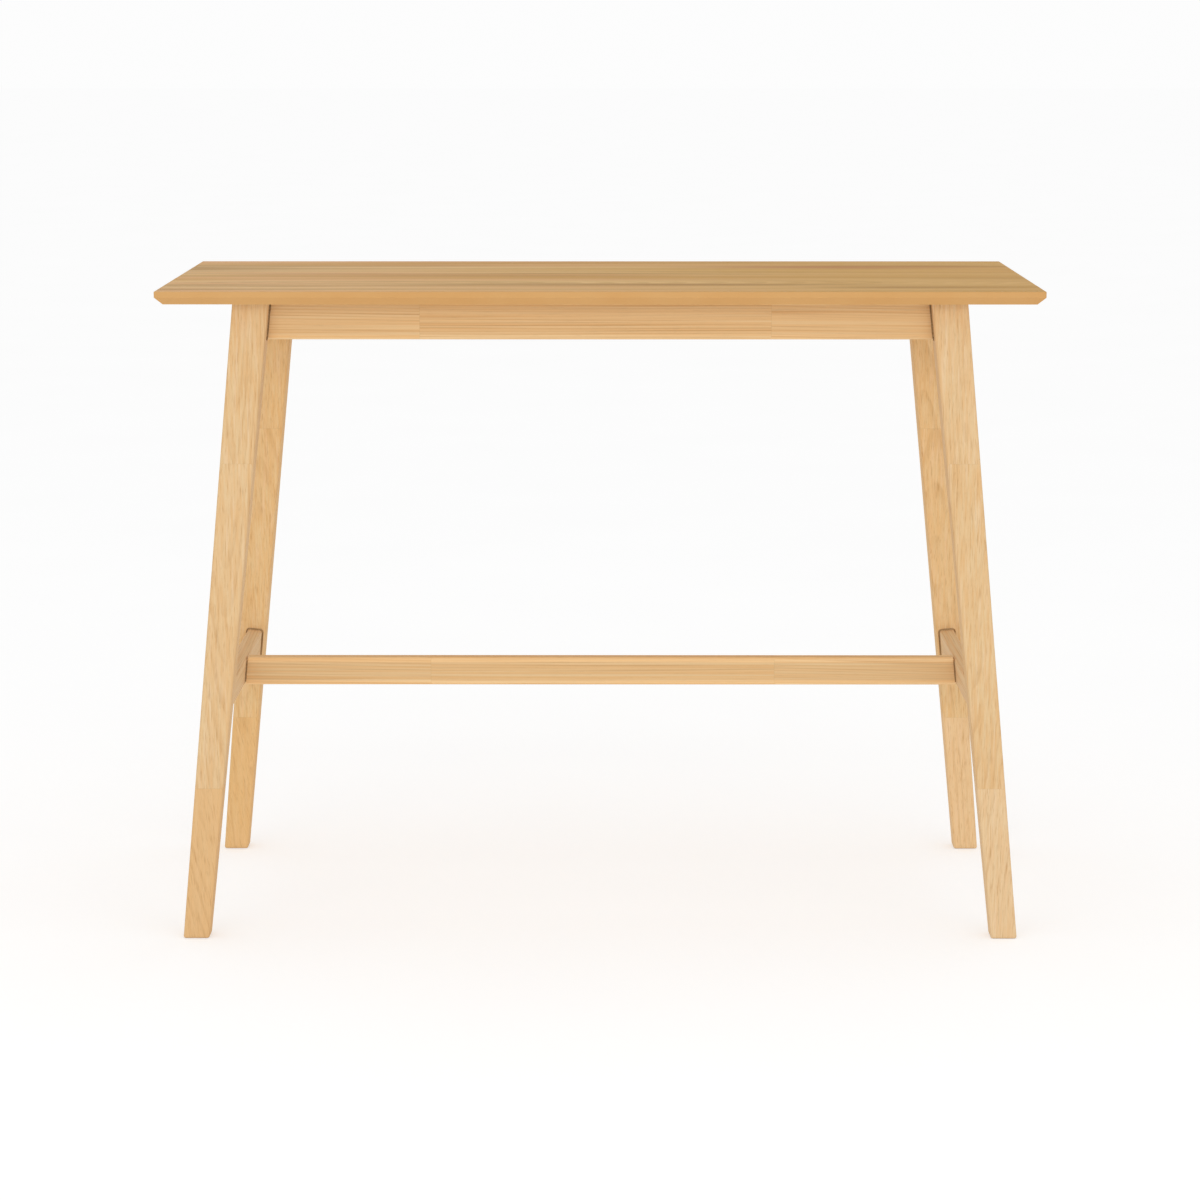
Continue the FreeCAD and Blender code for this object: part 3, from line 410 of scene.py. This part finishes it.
STREAK_BEND = 0.030
STREAK_BENDING = Noise(across=6, along=1.3, step=51, detail=2)
STREAK_BREAKS = Noise(across=160, along=3.0, step=53, detail=3)

# The heart figure is a cone of rings that the board's face cuts: how deep its middle lies under the
# point, and how much deeper it goes per metre along the board.
HEART_DEPTH = 0.035
HEART_SLOPE = 0.10
HEART_SWAY = Noise(across=3, along=1.2, step=1, detail=2)
HEART_SWING = Noise(across=7, along=1.0, step=2, detail=2)
HEART_WAVER = Noise(across=45, along=4, step=4, detail=3)
OAK_RINGS = 0.0065
OAK_SEASONS = 0.058

OAK_BAND = Noise(across=14, along=0.9, step=8, detail=4, roughness=0.6)
OAK_PINKNESS = Noise(across=10, along=0.7, step=17, detail=2)
OAK_OLIVENESS = Noise(across=9, along=0.6, step=29, detail=2)
OAK_FIBRE = Noise(across=1100, along=18, step=42, detail=3, roughness=0.7)
OAK_PORE = Noise(across=1300, along=45, step=43, detail=1)

BEVEL_HEIGHT = 0.0114
ARRIS_HALF_WIDTH = 0.0011


def streaks_over(graph, colour, axes, start, streaks):
    """Lay long pointed streaks over a colour, bent and broken up by noise."""
    y, _, x = axes
    bending = grain_noise(graph, axes, start, STREAK_BENDING)
    breaks = grain_noise(graph, axes, start, STREAK_BREAKS)
    for streak in streaks:
        off_x = graph.math("DIVIDE", graph.math("SUBTRACT", x, streak.x), streak.half_length)
        off_y = graph.math("SUBTRACT", y, streak.y + STREAK_BEND / 2)
        off_y = graph.math("MULTIPLY_ADD", bending, STREAK_BEND, off_y)
        off_y = graph.math("DIVIDE", off_y, streak.half_width)
        inside = graph.remap(graph.vector_math("LENGTH", graph.combine(off_x, off_y, 0.0)), 1.0, 0.15)
        strength = graph.remap(breaks, 0.36, 0.60, streak.strength * 0.4, streak.strength)
        colour = graph.mix(graph.math("MULTIPLY", inside, strength), colour, streak.colour)
    return colour


def heart_figure(graph, axes, start, heart):
    """Late wood strength of the fine rings and of the broad seasons round the pointed heart."""
    y, _, x = axes
    depth = graph.math("MULTIPLY_ADD", graph.math("SUBTRACT", x, heart[0]), HEART_SLOPE, HEART_DEPTH)
    side = graph.math("SUBTRACT", y, heart[1])
    side = graph.math("MULTIPLY_ADD", grain_noise(graph, axes, start, HEART_SWAY), 0.05, side)
    radius = graph.vector_math("LENGTH", graph.combine(side, depth, 0.0))
    radius = graph.math("MULTIPLY_ADD", grain_noise(graph, axes, start, HEART_SWING), 0.050, radius)
    radius = graph.math("MULTIPLY_ADD", grain_noise(graph, axes, start, HEART_WAVER), 0.004, radius)
    phase = graph.math("FRACT", graph.math("DIVIDE", radius, OAK_RINGS))
    late = graph.math("MULTIPLY", graph.remap(phase, 0.2, 0.85), graph.remap(phase, 1.0, 0.9))
    phase = graph.math("FRACT", graph.math("DIVIDE", radius, OAK_SEASONS))
    broad = graph.math("MULTIPLY", graph.remap(phase, 0.3, 0.9), graph.remap(phase, 1.0, 0.93))
    return late, broad


def oak_veneer(name, low, high, seed, heart, streaks):
    """Sliced oak along X: broad tinted bands, a pointed heart figure, fine late wood lines and pores.

    heart is the point of the figure, x and y.
    """
    graph = Graph(name)
    start = random.Random(seed).uniform(5, 30)
    x, y, z = graph.separate(graph.place)
    axes = (y, z, x)
    late, broad = heart_figure(graph, axes, start, heart)
    band, pink, olive, fibre, pore = (
        grain_noise(graph, axes, start, noise)
        for noise in (OAK_BAND, OAK_PINKNESS, OAK_OLIVENESS, OAK_FIBRE, OAK_PORE))
    pore = graph.remap(pore, 0.60, 0.72)
    pore = graph.math("MULTIPLY", pore, graph.math("MULTIPLY_ADD", late, 0.6, 0.4))

    darkness = graph.math("MULTIPLY_ADD", late, 0.22, graph.math("MULTIPLY", broad, 0.20))
    darkness = graph.math("ADD", darkness, graph.remap(band, 0.46, 0.68, 0.0, 0.50), clamp=True)
    colour = graph.mix(darkness, OAK_LIGHT, OAK_DARK)
    colour = graph.mix(graph.remap(pink, 0.46, 0.66, 0.0, 0.5), colour, OAK_PINK)
    colour = graph.mix(graph.remap(olive, 0.46, 0.66, 0.0, 0.55), colour, OAK_OLIVE)
    # Painted reflection: more olive toward the right, leaving the left paler as if it caught the sheen.
    painted_sheen_slope = graph.remap(x, low.x * 0.8, high.x * 0.6, 0.0, 0.6, smooth=False)
    colour = graph.mix(painted_sheen_slope, colour, OAK_OLIVE)
    colour = streaks_over(graph, colour, axes, start, streaks)
    tint = graph.remap(fibre, 0.25, 0.75, 0.93, 1.05, smooth=False)
    tint = graph.math("SUBTRACT", tint, graph.math("MULTIPLY", pore, 0.14))
    colour = graph.scaled(colour, tint)
    rim_x = graph.math("SUBTRACT", (high.x - low.x) / 2, graph.math("ABSOLUTE", x))
    rim_y = graph.math("SUBTRACT", (high.y - low.y) / 2, graph.math("ABSOLUTE", y))
    rim = graph.remap(graph.math("MINIMUM", rim_x, rim_y), 0.006, 0.0015)
    colour = graph.mix(graph.math("MULTIPLY", rim, 0.35), colour, EDGE)

    height = graph.math("SUBTRACT", graph.math("MULTIPLY", fibre, 0.5), pore)
    normal = graph.bump(height, 0.14, GRAIN_RELIEF)
    shine = graph.math("MULTIPLY_ADD", fibre, 0.10, graph.math("MULTIPLY_ADD", pore, 0.15, 0.48))
    return graph.finish(colour, shine, normal, Specular_IOR_Level=WOOD_SPECULAR)


def lacquered_edge(name, arrises):
    """The board's tinted and sprayed edge: no grain, a faint mottle, orange peel and rubbed arrises.

    arrises are the heights of its long edges.
    """
    graph = Graph(name)
    mottle = graph.noise(graph.place, scale=9, detail=3)
    speck = graph.noise(graph.place, scale=900, detail=2)
    peel = graph.noise(graph.place, scale=420, detail=1)
    patches = graph.noise(graph.place, scale=60, detail=3)
    level = graph.separate(graph.place)[2]
    worn = 0.0
    for arris in arrises:
        away = graph.math("ABSOLUTE", graph.math("SUBTRACT", level, arris))
        worn = graph.math("MAXIMUM", worn, graph.remap(away, ARRIS_HALF_WIDTH, 0.0002))
    worn = graph.math("MULTIPLY", worn, graph.remap(patches, 0.42, 0.62))
    colour = graph.mix(graph.remap(mottle, 0.3, 0.7, 0.0, 0.5), EDGE, EDGE_DEEP)
    tint = graph.remap(speck, 0.3, 0.7, 0.98, 1.02, smooth=False)
    colour = graph.scaled(colour, graph.math("MULTIPLY_ADD", worn, 0.05, tint))
    shine = graph.math("MULTIPLY_ADD", mottle, 0.12, 0.42)
    shine = graph.math("SUBTRACT", shine, graph.math("MULTIPLY", worn, 0.08))
    normal = graph.bump(peel, 0.05, 0.0004)
    return graph.finish(colour, shine, normal, Specular_IOR_Level=0.06)


# ---------------------------------------------------------------- hardware finishes


def zinc_steel(name):
    """Bright zinc plate: mottled spangle and fine scratches."""
    graph = Graph(name)
    spangle = graph.noise(graph.place, scale=260, detail=3)
    scratch = graph.noise(graph.vector_math("MULTIPLY", graph.place, (3000, 300, 3000)), detail=2)
    colour = graph.mix(graph.remap(spangle, 0.35, 0.65, 0.0, 0.6), ZINC, ZINC_BLUE)
    shine = graph.remap(scratch, 0.3, 0.7, 0.24, 0.42, smooth=False)
    return graph.finish(colour, shine, graph.bump(scratch, 0.08, 0.0001), Metallic=1.0)


def moulded_nylon(name):
    """Off-white moulded nylon, scuffed where it slides."""
    graph = Graph(name)
    grain = graph.noise(graph.place, scale=1200, detail=2)
    scuff = graph.noise(graph.vector_math("MULTIPLY", graph.place, (900, 90, 90)), detail=3)
    colour = graph.mix(graph.remap(scuff, 0.5, 0.8, 0.0, 0.35), NYLON, NYLON_SCUFF)
    shine = graph.remap(scuff, 0.3, 0.8, 0.45, 0.62, smooth=False)
    return graph.finish(colour, shine, graph.bump(grain, 0.10, 0.0002))


# ---------------------------------------------------------------- dressing the CAD nodes

LEG_JOINTS = (0.255, 0.771)
LEG_RINGS = 0.0058
RAIL_RINGS = 0.0046

# A long rail's finger joints from its middle, the tones of its lengths, and its margin's lift.
LongRail = namedtuple("LongRail", "joints tones lift")


def dress(node, material):
    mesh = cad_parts[node].data
    mesh.materials.clear()
    mesh.materials.append(material)


def dress_legs():
    """Two finger joints per leg; the feet are darkest at the left and palest at the right."""
    tones = {
        "front_left": (-0.85, 0.10, -0.05),
        "front_right": (0.50, -0.05, 0.15),
        "back_left": (-0.70, 0.05, 0.05),
        "back_right": (0.75, 0.20, 0.15),
    }
    leans = {
        "front_left": (0.13, 0.0, -0.02),
        "front_right": (-0.02, 0.0, 0.02),
        "back_left": (0.15, 0.0, -0.08),
        "back_right": (0.02, 0.02, 0.05),
    }
    for index, corner in enumerate(CORNERS):
        node = f"{corner}_leg"
        side = 1 if "left" in corner else -1
        # The back legs take the brighter copy, painted light against their shade.
        palette = LACQUERED if "front" in corner else LIT_LACQUERED
        figure = Figure(seed=11 + index, rings=LEG_RINGS, pith=(side * 0.055, 0.060 - 0.008 * index),
                        joints=LEG_JOINTS, tones=tones[corner], leans=leans[corner])
        dress(node, timber(node, leg_blank(node), figure, palette))


def dress_long_rails():
    """Rails along X, joined up from three lengths, with a paler margin above and below."""
    rails = {
        "front_apron": LongRail(joints=(-0.281, 0.281), tones=(0.1, 0.05, 0.1), lift=0.08),
        "back_apron": LongRail(joints=(-0.190, 0.330), tones=(0.0, 0.2, -0.1), lift=0.08),
        "foot_rail": LongRail(joints=(-0.281, 0.300), tones=(0.0, 0.05, 0.05), lift=0.17),
    }
    for index, (node, rail) in enumerate(rails.items()):
        figure = Figure(seed=31 + index, rings=RAIL_RINGS, pith=(0.060, 0.035), joints=rail.joints,
                        tones=rail.tones, leans=(0.01, -0.005, 0.015))
        margin = Margin(begins=0.0100, full=0.0060, lift=rail.lift)
        dress(node, timber(node, bar_blank(node, X, Z), figure, MELLOW, margin))


def dress_side_rails():
    """Rails along Y, single lengths that lean inward with the legs."""
    foot = leg_blank("back_right_leg")
    lean = math.atan(-foot.lean_u)
    upward = {"right": Vector((-math.sin(lean), 0, math.cos(lean))),
              "left": Vector((math.sin(lean), 0, math.cos(lean)))}
    for index, (side, up) in enumerate(upward.items()):
        for step, kind in enumerate(("apron", "side_stretcher")):
            node = f"{side}_{kind}"
            figure = Figure(seed=41 + 2 * index + step, rings=RAIL_RINGS, pith=(0.050, 0.040), joints=(),
                            tones=(0.3,), leans=(0.01,))
            dress(node, timber(node, bar_blank(node, Y, up), figure, LACQUERED))


def plain_figure(seed, rings, pith):
    """One length of nearly straight-grained timber."""
    return Figure(seed, rings, pith, joints=(), tones=(0.0,), leans=(0.02,))


def dress_hidden_timber():
    """Corner blocks, brace and dowels, planed and sealed but not lacquered."""
    for index, corner in enumerate(CORNERS):
        node = f"{corner}_corner_block"
        diagonal = Vector((1, -1, 0)) if corner in ("front_left", "back_right") else Vector((1, 1, 0))
        blank = bar_blank(node, diagonal.normalized(), Z)
        figure = plain_figure(seed=51 + index, rings=0.0050, pith=(0.010, 0.045))
        dress(node, timber(node, blank, figure, RAW, gloss=SEALED))
    figure = plain_figure(seed=61, rings=0.0055, pith=(0.010, 0.050))
    brace = timber("centre_brace", bar_blank("centre_brace", Y, X), figure, RAW, gloss=SEALED)
    dress("centre_brace", brace)
    dowels = {"apron_dowels": X, "brace_dowels": Y, "side_stretcher_dowels": Y, "foot_rail_dowels": X}
    for index, (node, along) in enumerate(dowels.items()):
        figure = plain_figure(seed=71 + index, rings=0.0030, pith=(0.010, 0.030))
        dress(node, timber(node, bar_blank(node, along, Z), figure, BEECH, gloss=0.60))


def dress_top():
    """Face veneer with a dark flame near the front, a red band behind it, and a painted reflection that
    leaves it paler at the left and more olive at the right.
    """
    flame = Streak(x=0.08, y=-0.190, half_length=0.55, half_width=0.036, colour=OAK_DARK, strength=0.72)
    streaks = (
        flame,
        Streak(x=0.40, y=0.185, half_length=0.40, half_width=0.050, colour=OAK_RED, strength=0.85),
        Streak(x=0.52, y=-0.235, half_length=0.26, half_width=0.045, colour=OAK_DARK, strength=0.60),
        Streak(x=-0.18, y=0.010, half_length=0.45, half_width=0.030, colour=OAK_DARK, strength=0.24),
    )
    node = "tabletop_face_veneer"
    dress(node, oak_veneer(node, *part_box(node), seed=4, heart=(-0.05, -0.12), streaks=streaks))
    node = "tabletop_backing_veneer"
    dress(node, oak_veneer(node, *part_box(node), seed=9, heart=(0.2, 0.1), streaks=(flame,)))
    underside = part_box("tabletop_core")[0].z
    dress("tabletop_core", lacquered_edge("tabletop_core", (underside, underside + BEVEL_HEIGHT)))


def dress_hardware():
    steel = zinc_steel("zinc_steel")
    for node in ("hanger_bolts", "hanger_washers", "hanger_nuts", "corner_block_screws",
                 "top_fixing_screws", "foot_rail_bolts", "foot_rail_barrel_nuts"):
        dress(node, steel)
    nylon = moulded_nylon("moulded_nylon")
    for corner in CORNERS:
        dress(f"{corner}_glide", nylon)


# ---------------------------------------------------------------- stage, light and camera

# The floor and the surround are brighter to the camera than to the table.
FLOOR_SIZE = 120
FLOOR_GLOW_CAST = 0.30
FLOOR_GLOW_SEEN = 0.42
SURROUND_CAST = 0.80
SURROUND_SEEN = 0.98

Softbox = namedtuple("Softbox", "name place width height watts")

SOFTBOXES = (
    Softbox("key", place=(-2.4, -4.6, 1.6), width=3.0, height=2.2, watts=24),
    Softbox("fill", place=(2.8, -4.4, 1.2), width=3.0, height=2.2, watts=22),
    Softbox("top_lamp", place=(0.0, -5.0, 2.1), width=0.4, height=0.4, watts=15),
)

CAMERA_PLACE = (0.0125, -5.583, 1.484)
CAMERA_TILT_DOWN = math.radians(9.97)
CAMERA_LENS_MM = 100.6
CAMERA_SENSOR_MM = 36
CAMERA_FAR = 300


def make_floor():
    """A plain pale floor at the feet."""
    bpy.ops.mesh.primitive_plane_add(size=FLOOR_SIZE, location=(0, 0, cad_low.z))
    floor = bpy.context.object
    floor.name = "studio_floor"
    graph = Graph("studio_floor")
    cloud = graph.noise(graph.place, scale=2.0, detail=2)
    colour = graph.mix(cloud, (0.68, 0.68, 0.68), (0.70, 0.70, 0.70))
    seen = graph.node("ShaderNodeLightPath").outputs["Is Camera Ray"]
    glow = graph.remap(seen, 0.0, 1.0, FLOOR_GLOW_CAST, FLOOR_GLOW_SEEN, smooth=False)
    floor.data.materials.append(graph.finish(
        colour, 0.9, Specular_IOR_Level=0.0, Emission_Color=(1, 1, 1, 1), Emission_Strength=glow))


def make_world():
    """An even white surround."""
    world = bpy.data.worlds.new("studio")
    bpy.context.scene.world = world
    world.use_nodes = True
    background = world.node_tree.nodes["Background"]
    background.inputs["Color"].default_value = (1, 1, 1, 1)
    seen = world.node_tree.nodes.new("ShaderNodeLightPath").outputs["Is Camera Ray"]
    strength = world.node_tree.nodes.new("ShaderNodeMapRange")
    strength.inputs["To Min"].default_value = SURROUND_CAST
    strength.inputs["To Max"].default_value = SURROUND_SEEN
    world.node_tree.links.new(seen, strength.inputs["Value"])
    world.node_tree.links.new(strength.outputs["Result"], background.inputs["Strength"])


def make_softbox(softbox):
    """A rectangular light aimed at the table's middle."""
    data = bpy.data.lights.new(softbox.name, "AREA")
    data.shape = "RECTANGLE"
    data.size = softbox.width
    data.size_y = softbox.height
    data.energy = softbox.watts
    lamp = bpy.data.objects.new(softbox.name, data)
    lamp.location = softbox.place
    target = Vector((0, 0, cad_high.z * 0.6))
    lamp.rotation_euler = (target - Vector(softbox.place)).to_track_quat("-Z", "Y").to_euler()
    bpy.context.scene.collection.objects.link(lamp)


def make_camera():
    """A long lens above the top, tilted down, a hair right of the middle but aimed at it."""
    data = bpy.data.cameras.new("camera")
    data.sensor_width = CAMERA_SENSOR_MM
    data.lens = CAMERA_LENS_MM
    data.clip_end = CAMERA_FAR
    camera = bpy.data.objects.new("camera", data)
    camera.location = CAMERA_PLACE
    turn = math.atan2(camera.location.x, cad_low.y - camera.location.y)
    camera.rotation_euler = (math.pi / 2 - CAMERA_TILT_DOWN, 0, turn)
    bpy.context.scene.collection.objects.link(camera)
    bpy.context.scene.camera = camera


dress_legs()
dress_long_rails()
dress_side_rails()
dress_hidden_timber()
dress_top()
dress_hardware()
make_floor()
make_world()
for softbox in SOFTBOXES:
    make_softbox(softbox)
make_camera()
bpy.context.scene.view_settings.view_transform = "Standard"
